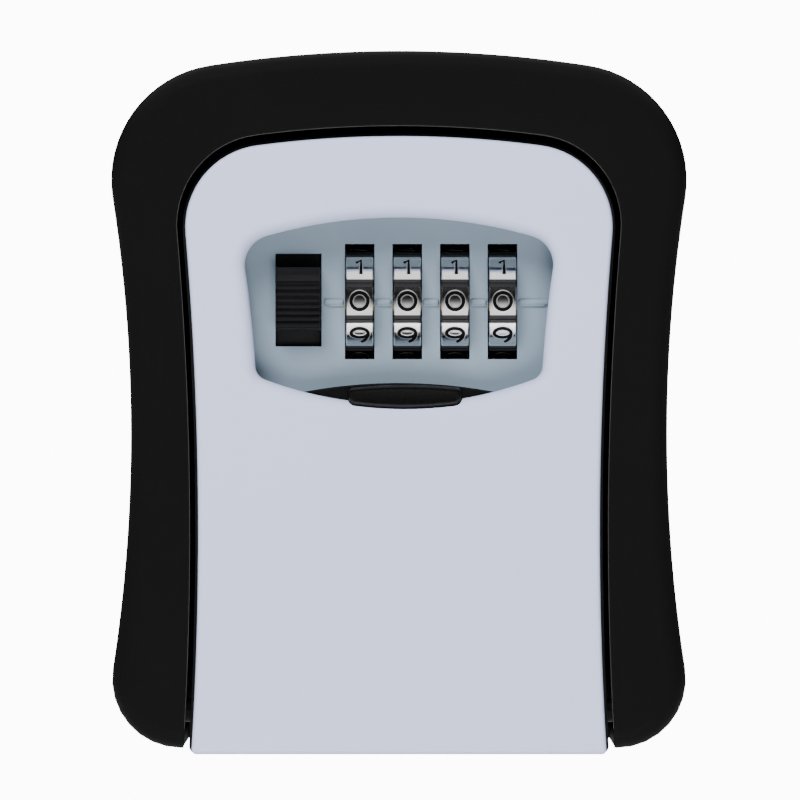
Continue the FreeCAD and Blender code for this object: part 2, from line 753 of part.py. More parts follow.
def dial_housing():
    """Moulded tray of the bay: land, tub, floor with windows, and bearers behind it."""
    land_low = shutter_bottom - 5.2
    land = block("land", (-(door_waist - 4.2), door_waist - 4.2), (land_front, land_back),
                 (land_low, bay_top + 4.8))
    tub = prism("tub_outer", bay_outline.grown(tub_hide + tub_wall), land_front, floor_back)
    parts = [land, tub]
    for side in (-1, 1):
        low, high = sorted([side * (shutter_half_wide + slip), side * (shutter_half_wide + 2.0)],
                           key=lambda size: size.number)
        parts.append(block("rail", (low, high), (skin_back + 0.1, land_front + 0.5),
                           (shutter_bottom, bay_top - 1)))
    for x, z in LAND_SPOTS:
        parts.append(rod("land_boss", "y", (x, skin_back, z), as_size(2.1), land_front - skin_back + 0.5))
    room = prism("tub_room", bay_outline.grown(tub_hide), land_front - 1, floor_front)
    solid = cut("housing_tray", fuse("housing_blank", parts), [room])
    bearers = []
    for start in (left_cheek, right_cheek):
        bearers.append(block("cheek", (start, start + cheek_thick), (floor_back - 0.5, wheel_y + 3.2),
                             (wheel_height - 3.5, wheel_height + 3.5)))
    for side in (-1, 1):
        seat_x = side * spring_x
        bearers.append(block("spring_seat", (seat_x - 2.2, seat_x + 2.2),
                             (floor_back - 0.5, leaf_front), (wheel_height - 6.6, wheel_height - 4.9)))
    for number in (1, 3):
        x = wheel_x(number) + wheel_pitch / 2
        bearers.append(rod("comb_post", "y", (x, floor_back - 0.5, comb_height),
                           as_size(1.9), leaf_front - floor_back + 0.5))
    for number in WHEELS:
        mark = wheel_x(number) - wheel_pitch / 2
        bearers.append(index_mark(mark - 1.2, mark + 1.2))
    bearers.append(index_mark(wheel_x(4) + 2.75, bay_waist + 0.8))
    tools = [rod("axle_hole", "x", (left_cheek - 1, wheel_y, wheel_height), axle_radius,
                 right_cheek - left_cheek + 4)]
    for number in WHEELS:
        x = wheel_x(number)
        tools.append(block("window", (x - window_wide / 2, x + window_wide / 2),
                           (floor_front - 1, floor_back + 0.5),
                           (wheel_height - window_high / 2, wheel_height + window_high / 2)))
    tools.append(block("slider_window", (slot_left, slot_left + slot_wide),
                       (floor_front - 1, floor_back + 0.5), (slot_low, slot_low + slot_high)))
    for x, z in LAND_SPOTS:
        tools.append(rod("land_screw_hole", "y", (x, skin_back - 1, z), screw_radius, 6))
    for number in (1, 3):
        x = wheel_x(number) + wheel_pitch / 2
        tools.append(rod("comb_pilot", "y", (x, leaf_front - 4, comb_height), as_size(0.8), 5))
    keep("dial_housing", cut("housing_solid", fuse("housing_full", [solid] + bearers), tools))


def index_mark(low, high):
    """Raised bar on the bay floor that shows where the code is read."""
    return block("index_mark", (low, high), (floor_front - 0.35, floor_front + 0.3),
                 (wheel_height - 0.75, wheel_height + 0.05))


def wheel_axle():
    """Steel axle through the wheels, with a clip at each end."""
    right = right_cheek + cheek_thick
    start = left_cheek - 1.2
    keep("wheel_axle", rod("axle", "x", (start, wheel_y, wheel_height), axle_radius,
                           right - start + 1.2))
    clips = []
    for place in (left_cheek - 0.6, right + 0.1):
        washer = rod("clip_blank", "x", (place, wheel_y, wheel_height), axle_radius * 2, 0.5)
        hole = rod("clip_hole", "x", (place - 1, wheel_y, wheel_height), axle_radius, 3)
        mouth = block("clip_mouth", (place - 1, place + 2), (wheel_y, wheel_y + 6),
                      (wheel_height - 0.9, wheel_height + 0.9))
        clips.append(cut("clip", washer, [hole, mouth]))
    keep("axle_clips", group("axle_clips_group", clips))


def detent_comb():
    """Spring-steel comb with one leaf behind each wheel."""
    low = comb_height - 1.7
    parts = [block("comb_bar", (wheel_x(1) - 2.2, wheel_x(4) + 4.5), (leaf_front, leaf_back),
                   (low, low + 3.5))]
    for number in WHEELS:
        x = wheel_x(number)
        parts.append(block("comb_leaf", (x - 1.5, x + 1.5), (leaf_front, leaf_back),
                           (low + 3, wheel_height + 2)))
    holes = []
    screws = []
    for number in (1, 3):
        x = wheel_x(number) + wheel_pitch / 2
        z = comb_height
        holes.append(rod("comb_hole", "y", (x, leaf_front - 1, z), as_size(0.8), 3))
        shank = rod("comb_shank", "y", (x, leaf_front - 3.5, z), as_size(0.8), 4)
        crown = rod("comb_head", "y", (x, leaf_back, z), as_size(1.6), 0.8)
        screws.append(fuse("comb_screw", [shank, crown]))
    keep("detent_comb", cut("comb_solid", fuse("comb_blank", parts), holes))
    keep("comb_screws", group("comb_screws_group", screws))


def mechanism_cover():
    """Steel plate that closes the back of the door."""
    outline = door_outline.grown(-skirt_step - frame_wall - slip)
    plate = prism("cover_plate", outline, cover_front, cover_back)
    slot_start = lever_left - 0.3
    tools = [block("cover_slot", (slot_start, slot_start + code_shift + 1.4), (cover_front - 1, cover_back + 1),
                   (wheel_height - 12.1, wheel_height - 7.6))]
    for x, z in COVER_SPOTS:
        tools += sunk_hole("cover_hole", (x, z), cover_back, cover_thick + 1)
    keep("mechanism_cover", cut("cover_solid", plate, tools))
    screws = [flat_screw("cover_screw", spot, cover_back, as_size(6.0)) for spot in COVER_SPOTS]
    keep("cover_screws", group("cover_screws_group", screws))


def door_screws():
    """Screws that hold the faceplate to the frame and the housing to the faceplate."""
    screws = [screw("face_screw", spot, skin_back + top_post, top_post + screw_bite)
              for spot in TOP_SPOTS]
    screws += [screw("face_screw", spot, skin_back + web_thick, web_thick + screw_bite)
               for spot in LOW_SPOTS]
    keep("faceplate_screws", group("faceplate_screws_group", screws))
    reach = land_back - skin_back + screw_bite
    screws = [screw("land_screw", spot, land_back, reach) for spot in LAND_SPOTS]
    keep("housing_screws", group("housing_screws_group", screws))


def coil(label, along, start, length, turns):
    """Compression spring: round wire swept along a helix."""
    radius = spring_radius.number
    helix = Part.makeHelix(length / turns, length, radius)
    wire = Part.Wire(helix.Edges)
    section = Part.Wire([Part.makeCircle(wire_radius.number, FreeCAD.Vector(radius, 0, 0),
                                         FreeCAD.Vector(0, 1, 0))])
    spring = doc.addObject("Part::Feature", label + "_coil")
    spring.Shape = wire.makePipeShell([section], True, True)
    place = FreeCAD.Vector(*[as_size(size).number for size in start])
    spring.Placement = FreeCAD.Placement(place, TURN[along])
    keep(label, spring)


def springs():
    """Two springs lift the latch and one presses the code sleeves to the left."""
    seat_top = wheel_height - 4.9
    wing_low = latch_bar_low()
    margin = wire_radius.number + 0.05
    length = (wing_low - seat_top).number - 2 * margin
    spring_y = leaf_front - spring_radius - wire_radius - 0.1
    for side, label in ((-1, "latch_spring_left"), (1, "latch_spring_right")):
        x = side * spring_x
        coil(label, "z", (x, spring_y, seat_top + margin), length, 6)
    start = disc_x(4) + disc_thick + margin
    length = (right_cheek - start).number - margin
    coil("code_spring", "x", (start, wheel_y, wheel_height), length, 5)


# ---------------------------------------------------------------- latch body

def latch_bar_low():
    """Lower edge of the latch plate's bar."""
    return wheel_height + disc_radius + latch_travel - 0.9


def open_slider():
    """Ribbed black slider: a base behind the floor, a pad in the bay and a stem."""
    left = slot_left + 0.2
    right = slot_left + slot_wide - 0.2
    pad_front = shutter_back + 0.4
    base = block("slider_base", (slot_left - 1.4, right + 0.1), (floor_back + slip, floor_back + 1.4),
                 (slot_low - 0.5, slot_low + slot_high + latch_travel + 0.5))
    pad = block("slider_pad", (left, right), (pad_front, floor_back + slip + 0.5),
                (pad_low, pad_low + pad_high))
    middle = slot_left + slot_wide / 2
    stem = block("slider_stem", (middle - 2.2, middle + 2.2), (floor_back + 1, latch_front),
                 (wheel_height - 3, wheel_height + 3))
    grooves = []
    for index in range(7):
        z = pad_low + rib_pitch * (index + 0.55)
        grooves.append(block("slider_groove", (left - 1, right + 1), (pad_front - 1, pad_front + rib_deep),
                             (z, z + rib_pitch / 2)))
    thumb = block("slider_thumb", (left - 1, right + 1), (pad_front - 1, pad_front + rib_deep * 2),
                  (pad_low + pad_high - 3.2, pad_low + pad_high - 2.0))
    pilot = rod("slider_pilot", "y", (middle, latch_front - 4, wheel_height), screw_radius, 5)
    solid = fuse("slider_blank", [base, pad, stem])
    keep("open_slider", cut("slider_solid", solid, grooves + [thumb, pilot]))
    keep("slider_screw", flat_screw("slider_screw_solid", (middle, wheel_height), latch_back,
                                    latch_thick + 3.5))


def latch_plate():
    """Steel plate with the tongue, four fence arms and two spring wings."""
    low = latch_bar_low()
    bar_half = spring_x + 2.3
    arm_low = wheel_height + disc_radius + latch_travel + 0.3
    tooth_low = wheel_height + disc_radius + free_travel
    parts = [block("latch_bar", (-bar_half, bar_half), (latch_front, latch_back), (low, low + 5))]
    parts.append(block("latch_neck", (-tongue_half_wide, tongue_half_wide), (latch_front, latch_back),
                       (low + 4, door_top - strike_drop - strike_thick + tongue_bite)))
    slot_right = slot_left + slot_wide
    parts.append(block("latch_arm", (slot_left + 0.4, slot_right - 0.6), (latch_front, latch_back),
                       (wheel_height - 4.5, low + 1)))
    for number in WHEELS:
        middle = disc_x(number) + disc_thick / 2
        parts.append(block("fence_arm", (middle - 0.4, middle + 0.4), (wheel_y - tooth_wide / 2, latch_back),
                           (arm_low, arm_low + 2.2)))
        parts.append(block("fence_tooth", (middle - 0.4, middle + 0.4),
                           (wheel_y - tooth_wide / 2, wheel_y + tooth_wide / 2),
                           (tooth_low, arm_low + 1)))
    for side in (-1, 1):
        x = side * spring_x
        parts.append(block("spring_wing", (x - 2.2, x + 2.2),
                           (leaf_front - spring_radius * 2 - 0.8, latch_back), (low, low + 1)))
    middle = slot_left + slot_wide / 2
    tools = sunk_hole("latch_hole", (middle, wheel_height), latch_back, latch_thick + 1)
    keep("latch_plate", cut("latch_solid", fuse("latch_blank", parts), tools))


# ---------------------------------------------------------------- shutter body

def shutter():
    """Dust cover that slides up over the wheels, with its grip bar."""
    plate_outline = Outline(shutter_half_wide, as_size(-10.0), as_size(4000.0), shutter_top,
                            shutter_top_radius, shutter_bottom, None, as_size(4.0), as_size(1.5))
    plate = prism("shutter_plate", plate_outline, shutter_front, shutter_back)
    grip_outline = Outline(grip_half_wide, as_size(1.0), as_size(400.0), shutter_top - 0.35,
                           shutter_top_radius, grip_bottom, bay_bottom_radius,
                           as_size(0.9), as_size(1.2))
    grip = prism("shutter_grip", grip_outline, shutter_front - grip_proud, shutter_front + 0.3)
    bind(grip, "Placement.Base.x", grip_offset)
    keep("shutter", fuse("shutter_solid", [plate, grip]))


# ---------------------------------------------------------------- code parts

def code_change_lever():
    """Fork on the axle with a stalk and a thumb tab behind the cover."""
    left = lever_left
    right = disc_x(1) + disc_thick - wheel_pitch - fit_gap
    fork = block("lever_fork", (left, right), (wheel_y - 3, leaf_front - 0.2),
                 (wheel_height - 4, wheel_height + 3.5))
    stalk = block("lever_stalk", (left, right), (leaf_front - 3, cover_back + 0.5),
                  (wheel_height - 11.9, wheel_height - 7.8))
    riser = block("lever_riser", (left, right), (leaf_front - 3, leaf_front - 0.2),
                  (wheel_height - 10, wheel_height))
    tab = block("lever_tab", (left - 1.4, right + 1.4), (cover_back + 0.2, cover_back + 1.4),
                (wheel_height - 13.6, wheel_height - 6.1))
    hole = rod("lever_hole", "x", (left - 1, wheel_y, wheel_height), axle_radius + slip, 4)
    keep("code_change_lever", cut("lever_solid", fuse("lever_blank", [fork, stalk, riser, tab]), [hole]))


def number_wheel(number):
    """Chromed ten-sided wheel with a groove along each ridge and keyways in its bore."""
    x = wheel_x(number)
    left = x - wheel_wide / 2
    label = "number_wheel_" + str(number)
    blank = doc.addObject("Part::Prism", label + "_blank")
    blank.Polygon = 10
    bind(blank, "Circumradius", wheel_radius)
    bind(blank, "Height", wheel_wide)
    put(blank, "x", (left, wheel_y, wheel_height))
    tools = [rod("wheel_bore", "x", (left - 1, wheel_y, wheel_height), sleeve_radius + fit_gap,
                 wheel_wide + 2)]
    key_reach = sleeve_radius + key_high + 0.15
    tools.append(rod("wheel_room", "x", (left + 1.4, wheel_y, wheel_height), key_reach, wheel_wide))
    for step in range(5):
        keyway = doc.addObject("Part::Box", "wheel_keyway")
        bind(keyway, "Length", as_size(2.4))
        bind(keyway, "Width", key_wide + 0.1)
        bind(keyway, "Height", key_reach * 2)
        angle = math.radians(36 * step)
        keyway.Placement = FreeCAD.Placement(FreeCAD.Vector(), FreeCAD.Rotation(
            FreeCAD.Vector(1, 0, 0), math.degrees(angle)))
        half_wide = (key_wide + 0.1) / 2
        bind(keyway, "Placement.Base.x", left - 0.5)
        bind(keyway, "Placement.Base.y",
             wheel_y - half_wide * math.cos(angle) + key_reach * math.sin(angle))
        bind(keyway, "Placement.Base.z",
             wheel_height - half_wide * math.sin(angle) - key_reach * math.cos(angle))
        tools.append(keyway)
    for step in range(10):
        angle = math.radians(18 + 36 * step)
        y = wheel_y + wheel_radius * math.cos(angle)
        z = wheel_height + wheel_radius * math.sin(angle)
        tools.append(rod("wheel_groove", "x", (left - 1, y, z), wheel_groove, wheel_wide + 2))
    keep(label, cut(label + "_solid", blank, tools))


def code_sleeve(number):
    """Brass sleeve keyed into its wheel, with the gated disc beside the wheel."""
    x = wheel_x(number)
    label = "code_sleeve_" + str(number)
    wheel_left = x - wheel_wide / 2
    disc_left = disc_x(number)
    start = disc_left + disc_thick - wheel_pitch + fit_gap
    tube = rod("sleeve_tube", "x", (start, wheel_y, wheel_height), sleeve_radius,
               wheel_pitch - fit_gap)
    disc = rod("sleeve_disc", "x", (disc_left, wheel_y, wheel_height), disc_radius, disc_thick)
    key = block("sleeve_key", (wheel_left + 0.1, wheel_left + 1.3),
                (wheel_y - key_wide / 2, wheel_y + key_wide / 2),
                (wheel_height, wheel_height + sleeve_radius + key_high))
    gate_floor = disc_radius - (latch_travel - free_travel) - 0.3
    gate = block("sleeve_gate", (disc_left - 0.1, disc_left + disc_thick + 0.1),
                 (wheel_y - gate_wide / 2, wheel_y + gate_wide / 2),
                 (wheel_height + gate_floor, wheel_height + disc_radius + 1))
    blind_gate = block("sleeve_blind_gate", (disc_left - 0.1, disc_left + disc_thick + 0.1),
                       (wheel_y + gate_floor, wheel_y + disc_radius + 1),
                       (wheel_height - gate_wide / 2, wheel_height + gate_wide / 2))
    bore = rod("sleeve_bore", "x", (start - 1, wheel_y, wheel_height), axle_radius + fit_gap,
               wheel_pitch + 2)
    keep(label, cut(label + "_solid", fuse(label + "_blank", [tube, disc, key]),
                    [gate, blind_gate, bore]))


# ---------------------------------------------------------------- making

outer_shell()
inner_box()
strike_plate()
strike_screws()
shell_screws()
seals()
hinge_pins()
door_faceplate()
door_frame()
dial_housing()
wheel_axle()
detent_comb()
mechanism_cover()
door_screws()
springs()
open_slider()
latch_plate()
shutter()
code_change_lever()
for wheel_number in WHEELS:
    number_wheel(wheel_number)
    code_sleeve(wheel_number)
doc.recompute()

failed = [item.Name for item in doc.Objects if "Invalid" in item.State or "Error" in item.State]
if failed:
    raise RuntimeError("objects failed: " + ", ".join(failed))
for label, piece in pieces:
    if piece.Shape.isNull() or not piece.Shape.isValid():
        raise RuntimeError("bad shape in " + label)
os.makedirs("parts", exist_ok=True)
for label, piece in pieces:
    piece.Shape.exportStep("parts/" + label + ".step")
    print(label, len(piece.Shape.Solids), round(piece.Shape.Volume, 1))
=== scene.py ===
"""Wall-mounted key lock box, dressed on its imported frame."""
import math

import bmesh
import bpy
from mathutils import Matrix, Vector


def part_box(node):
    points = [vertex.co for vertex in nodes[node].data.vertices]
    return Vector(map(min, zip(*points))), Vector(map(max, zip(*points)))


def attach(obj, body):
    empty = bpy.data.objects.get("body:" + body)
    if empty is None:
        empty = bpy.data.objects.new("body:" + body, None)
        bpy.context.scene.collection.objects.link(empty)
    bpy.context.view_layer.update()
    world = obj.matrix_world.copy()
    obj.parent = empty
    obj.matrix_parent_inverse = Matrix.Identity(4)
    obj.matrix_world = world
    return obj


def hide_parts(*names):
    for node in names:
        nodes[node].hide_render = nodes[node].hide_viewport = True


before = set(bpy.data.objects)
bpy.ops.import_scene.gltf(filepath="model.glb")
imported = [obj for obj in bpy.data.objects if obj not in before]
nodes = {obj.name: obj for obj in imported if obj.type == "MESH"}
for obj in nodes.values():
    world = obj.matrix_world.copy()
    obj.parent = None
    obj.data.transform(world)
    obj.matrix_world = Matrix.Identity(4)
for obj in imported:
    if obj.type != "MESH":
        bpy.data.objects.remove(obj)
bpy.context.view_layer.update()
MM = 0.001
SMOOTH_BELOW = math.radians(32)


# ------------------------------------------------------------------ cover
# The outer cover is one ABS moulding with a fine satin spark finish. Its sides are
# waisted and its top is arched. It fits round the cast key box and is screwed to
# it from behind. The slanting faces of its lip round the door are painted paler and
# glossier as a painted highlight.

def linear(hex_colour):
    """sRGB hex to the linear colour that a shader takes."""
    channels = [int(hex_colour[i:i + 2], 16) / 255 for i in (1, 3, 5)]
    low = [c / 12.92 if c <= 0.04045 else ((c + 0.055) / 1.055) ** 2.4 for c in channels]
    return (*low, 1.0)


def add(tree, kind, settings=None, **links):
    """Add a node, set its properties or input values by name, and link its inputs."""
    node = tree.nodes.new(kind)
    for key, value in (settings or {}).items():
        if hasattr(node, key):
            setattr(node, key, value)
        else:
            node.inputs[key].default_value = value
    for key, source in links.items():
        tree.links.new(source, node.inputs[key.replace("_", " ")])
    return node


def start_material(name):
    """A node material with only its shader and output."""
    material = bpy.data.materials.new(name)
    material.use_nodes = True
    tree = material.node_tree
    tree.nodes.clear()
    shader = add(tree, "ShaderNodeBsdfPrincipled")
    add(tree, "ShaderNodeOutputMaterial", Surface=shader.outputs["BSDF"])
    return material, tree, shader


def surface_of(name, colour, second, roughness, grain, depth, metallic=0.0, specular=0.5,
               swing=0.07, patch=18.0, stretch=(1, 1, 1)):
    """Moulded, cast or plated finish: slow colour drift, fine grain (mm) and uneven gloss."""
    material, tree, shader = start_material(name)
    place = add(tree, "ShaderNodeTexCoord").outputs["Object"]
    patches = add(tree, "ShaderNodeTexNoise", {"Scale": 1 / (patch * MM), "Detail": 3.0}, Vector=place)
    tint = add(tree, "ShaderNodeMix", {"data_type": "RGBA"})
    tint.inputs[6].default_value = linear(colour)
    tint.inputs[7].default_value = linear(second)
    tree.links.new(patches.outputs["Fac"], tint.inputs[0])
    tree.links.new(tint.outputs[2], shader.inputs["Base Color"])
    turned = add(tree, "ShaderNodeMapping", {"Scale": stretch}, Vector=place)
    fine = add(tree, "ShaderNodeTexNoise", {"Scale": 1 / (grain * MM), "Detail": 2.0},
               Vector=turned.outputs["Vector"])
    gloss = add(tree, "ShaderNodeMapRange", {"To Min": roughness - swing, "To Max": roughness + swing},
                Value=fine.outputs["Fac"])
    tree.links.new(gloss.outputs["Result"], shader.inputs["Roughness"])
    relief = add(tree, "ShaderNodeBump", {"Strength": 1.0, "Distance": depth * MM},
                 Height=fine.outputs["Fac"])
    tree.links.new(relief.outputs["Normal"], shader.inputs["Normal"])
    shader.inputs["Metallic"].default_value = metallic
    shader.inputs["Specular IOR Level"].default_value = specular
    return material


def meeting(first, first_radius, second, second_radius, upper):
    """The upper or lower point that lies at two distances from two centres."""
    gap = second - first
    along = (first_radius ** 2 - second_radius ** 2 + gap.length ** 2) / (2 * gap.length)
    off = math.sqrt(max(first_radius ** 2 - along ** 2, 0.0))
    direction = gap.normalized()
    across = Vector((-direction.y, direction.x)) * off
    both = [first + direction * along + across, first + direction * along - across]
    both.sort(key=lambda point: point.y)
    return both[1] if upper else both[0]


def arc(centre, radius, start, end, count):
    """Points on a circle from one point towards another, the short way, without the last."""
    first = math.atan2(start.y - centre.y, start.x - centre.x)
    turn = math.atan2(end.y - centre.y, end.x - centre.x) - first
    turn = (turn + math.pi) % (2 * math.pi) - math.pi
    angles = [first + turn * i / count for i in range(count)]
    return [centre + Vector((math.cos(a), math.sin(a))) * radius for a in angles]


class Shield:
    """Waisted outline with an arched top and a flat or sagging bottom, in millimetres."""

    def __init__(self, waist, waist_height, side, top, arch, corner, bottom, low_corner, sag=None):
        self.waist, self.waist_height, self.side = waist, waist_height, side
        self.top, self.arch, self.corner = top, arch, corner
        self.bottom, self.low_corner, self.sag = bottom, low_corner, sag

    def loop(self, gap=0.0, top_gap=None, low_gap=None):
        """The outline moved outwards, as points from the top's middle round by the left."""
        top_gap = gap if top_gap is None else top_gap
        low_gap = gap if low_gap is None else low_gap
        side_centre = Vector((-(self.waist + self.side), self.waist_height))
        side = self.side - gap
        arch = self.arch + top_gap
        arch_centre = Vector((0, self.top - self.arch))
        corner = max(self.corner + gap, 0.2)
        low_corner = max(self.low_corner + gap, 0.15)
        high = meeting(arch_centre, arch - corner, side_centre, side + corner, True)
        arch_end = arch_centre + (high - arch_centre).normalized() * arch
        side_start = side_centre + (high - side_centre).normalized() * side
        if self.sag is None:
            floor = self.bottom - low_gap
            rise = floor + low_corner - self.waist_height
            low = Vector((side_centre.x + math.sqrt((side + low_corner) ** 2 - rise ** 2),
                          floor + low_corner))
            foot = Vector((low.x, floor))
            middle = Vector((0, floor))
            base = [foot.lerp(middle, i / 12) for i in range(12)]
        else:
            sag = self.sag + low_gap
            sag_centre = Vector((0, self.bottom + self.sag))
            low = meeting(sag_centre, sag - low_corner, side_centre, side + low_corner, False)
            foot = sag_centre + (low - sag_centre).normalized() * sag
            middle = sag_centre - Vector((0, sag))
            base = arc(sag_centre, sag, foot, middle, 12)
        side_end = side_centre + (low - side_centre).normalized() * side
        left = arc(arch_centre, arch, arch_centre + Vector((0, arch)), arch_end, 14)
        left += arc(high, corner, arch_end, side_start, 16)
        left += arc(side_centre, side, side_start, side_end, 26)
        left += arc(low, low_corner, side_end, foot, 8) + base + [middle]
        return left + [Vector((-point.x, point.y)) for point in reversed(left[1:-1])]


def activate(piece):
    """Select one piece alone and make it the active one."""
    bpy.ops.object.select_all(action="DESELECT")
    piece.select_set(True)
    bpy.context.view_layer.objects.active = piece


def lofted(name, rings, closed=False, shift=0.0):
    """Extrude a circle ring by ring; each ring is its outline's points and its y, in mm."""
    bpy.ops.object.select_all(action="DESELECT")
    bpy.ops.mesh.primitive_circle_add(vertices=len(rings[0][0]), radius=1.0)
    piece = bpy.context.active_object
    piece.name = name
    bpy.ops.object.mode_set(mode="EDIT")
    work = bmesh.from_edit_mesh(piece.data)
    place = work.verts.layers.int.new("place")
    for index, vert in enumerate(work.verts):
        vert[place] = index
    for number, (points, level) in enumerate(rings):
        if number:
            bpy.ops.mesh.extrude_edges_indiv()
        work = bmesh.from_edit_mesh(piece.data)
        place = work.verts.layers.int["place"]
        for vert in work.verts:
            if vert.select:
                point = points[vert[place]]
                vert.co = Vector((point.x + shift, level, point.y)) * MM
        bmesh.update_edit_mesh(piece.data)
    bpy.ops.mesh.select_all(action="SELECT")
    if closed:
        bpy.ops.mesh.remove_doubles(threshold=0.002 * MM)
    else:
        bpy.ops.mesh.fill_holes(sides=0)
    bpy.ops.mesh.select_all(action="SELECT")
    bpy.ops.mesh.normals_make_consistent(inside=False)
    bpy.ops.object.mode_set(mode="OBJECT")
    piece.data.attributes.remove(piece.data.attributes["place"])
    return piece


def modify(piece, kind, **settings):
    """Add one modifier with its settings and apply it."""
    activate(piece)
    modifier = piece.modifiers.new(kind.title(), kind)
    for key, value in settings.items():
        setattr(modifier, key, value)
    bpy.ops.object.modifier_apply(modifier=modifier.name)


def soften(piece, width, segments=2, angle=40):
    """Round every edge sharper than an angle, then shade smooth up to crisp edges."""
    modify(piece, "BEVEL", width=width * MM, segments=segments, limit_method="ANGLE",
           angle_limit=math.radians(angle), use_clamp_overlap=True)
    activate(piece)
    bpy.ops.object.shade_smooth_by_angle(angle=SMOOTH_BELOW)


def slab(name, low, high):
    """Box between two corners in mm."""
    low, high = Vector(low), Vector(high)
    bpy.ops.object.select_all(action="DESELECT")
    bpy.ops.mesh.primitive_cube_add(size=1, location=(low + high) / 2 * MM)
    piece = bpy.context.active_object
    piece.name = name
    piece.scale = (high - low) * MM
    bpy.ops.object.transform_apply(location=True, rotation=True, scale=True)
    return piece


def carve(piece, *tools):
    """Cut tools out of a piece and delete them."""
    for tool in tools:
        modify(piece, "BOOLEAN", operation="DIFFERENCE", solver="EXACT", object=tool)
        bpy.data.objects.remove(tool)


def dress(piece, material, body, slot, *stands_for):
    """Give a finished piece its material and body, and hide the CAD nodes it stands for; slot is not
    used.
    """
    piece.data.materials.clear()
    piece.data.materials.append(material)
    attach(piece, body)
    if stands_for:
        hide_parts(*stands_for)
    return piece


def quarter_round(radius, level, steps=10):
    """Inward gap and y of a quarter round from a side wall to the front at a level."""
    angles = [math.pi / 2 * i / steps for i in range(steps + 1)]
    return [(-radius * (1 - math.cos(a)), level + radius * (1 - math.sin(a))) for a in angles]


shell_low, shell_high = (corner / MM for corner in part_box("outer_shell"))
face_low, face_high = (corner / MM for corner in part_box("door_faceplate"))
DOOR_WAIST = 33.7
BORDER = 11.4
SHELL_WALL = 2.5
SHELL_ROUND = 3.4
BACK_CHAMFER = 0.3
LIP_ROUND = 0.45
GAP_SIDE, GAP_TOP, GAP_LOW = 1.35, 1.7, 14
DOORWAY_HALF, DOORWAY_HIGH = 36.4, 6
LEDGE_FRONT = -10.7
FRONT = shell_low.y
SKIN_BACK = face_high.y
shell = Shield(waist=DOOR_WAIST + BORDER, waist_height=-5.4, side=257.0, top=shell_high.z, arch=209.0,
               corner=19.5, bottom=shell_low.z, low_corner=11.6)
door = Shield(waist=DOOR_WAIST, waist_height=-22.0, side=600.0, top=face_high.z, arch=182.0,
              corner=13.8, bottom=face_low.z, low_corner=0.8)

rings = [(shell.loop(-SHELL_WALL), SKIN_BACK), (shell.loop(-SHELL_WALL), -BACK_CHAMFER),
         (shell.loop(-SHELL_WALL + BACK_CHAMFER), 0.0), (shell.loop(-BACK_CHAMFER), 0.0),
         (shell.loop(0), -BACK_CHAMFER), (shell.loop(0), -12.0), (shell.loop(0), -24.0)]
rings += [(shell.loop(gap), level) for gap, level in quarter_round(SHELL_ROUND, FRONT)]
cover = lofted("cover", rings)
way = door.loop(GAP_SIDE, GAP_TOP, GAP_LOW)
opening = lofted("opening_tool", [(way, FRONT - 3), (way, SKIN_BACK + 0.4)])
doorway = slab("doorway_tool", (-DOORWAY_HALF, SKIN_BACK - 0.1, -75),
               (DOORWAY_HALF, LEDGE_FRONT, shell_low.z + DOORWAY_HIGH))
carve(cover, opening, doorway)
soften(cover, LIP_ROUND, 3, 50)
satin_abs = surface_of("satin_black_abs", "#0C0C0C", "#0E0E0E", 0.5, 0.35, 0.006, specular=0.04)
# Paler, glossier black that paints a highlight on the slanting faces of the lip round the door.
lip_painted_highlight_abs = surface_of("black_abs_lip_painted_highlight", "#525252", "#5A5A5A", 0.35, 0.35, 0.004, specular=0.4)
dress(cover, satin_abs, "box", "shell_plastic", "outer_shell")
cover.data.materials.append(lip_painted_highlight_abs)
# Faces of the lip near the door that slant towards the front take the painted highlight material.
LIP_SIDE, LIP_LOW, LIP_TOP = 38, -54, 50
for face in cover.data.polygons:
    spot = face.center / MM
    near_door = abs(spot.x) < LIP_SIDE and LIP_LOW < spot.z < LIP_TOP and spot.y < FRONT + LIP_ROUND
    slanting = -0.99 < face.normal.y < -0.1
    face.material_index = int(near_door and slanting)


# -------------------------------------------------------------- faceplate
# The door's face is a zinc casting under a silver-grey enamel. It is flat, with a
# crisp rounded rim and a soft ramp that leads down into the bay of the dial.

BAY_SAG = 64.5
bay = Shield(waist=23.8, waist_height=-5.0, side=184.0, top=31.0, arch=81.0, corner=5.0,
             bottom=-0.3, low_corner=2.5, sag=BAY_SAG)
SHUTTER_ARCH = 87.5
grip = Shield(waist=9.45, waist_height=1.0, side=400.0, top=2.85, arch=SHUTTER_ARCH, corner=0.9,
              bottom=-1.0, low_corner=1.2, sag=BAY_SAG)
GRIP_SHIFT = 1.0
GRIP_ROOM = 0.2
FACE_ROUND = 0.8
RAMP_SIDE, RAMP_TOP, RAMP_LOW, RAMP_DEEP = 2.5, 2.2, 2.9, 2.3
RAMP_STEPS = 16
rings = [(door.loop(0), SKIN_BACK)]
rings += [(door.loop(gap), level) for gap, level in quarter_round(FACE_ROUND, FRONT, 6)]
faceplate = lofted("faceplate", rings)
rings = [(bay.loop(RAMP_SIDE, RAMP_TOP, RAMP_LOW), FRONT - 1)]
for step in range(RAMP_STEPS + 1):
    turn = math.pi / 2 * step / RAMP_STEPS
    share = 1 - math.sin(turn)
    outline = bay.loop(RAMP_SIDE * share, RAMP_TOP * share, RAMP_LOW * share)
    rings.append((outline, FRONT + RAMP_DEEP * (1 - math.cos(turn))))
rings.append((bay.loop(0), SKIN_BACK + 1))
mouth = lofted("mouth_tool", rings)
notch = grip.loop(GRIP_ROOM)
relief = lofted("relief_tool", [(notch, FRONT - 1), (notch, SKIN_BACK + 1)], shift=GRIP_SHIFT)
carve(faceplate, mouth, relief)
activate(faceplate)
bpy.ops.object.shade_smooth_by_angle(angle=SMOOTH_BELOW)
enamel = surface_of("silver_grey_enamel", "#B5BCDA", "#BAC1DE", 0.42, 0.9, 0.004, specular=0.4,
                    swing=0.03, patch=30.0)
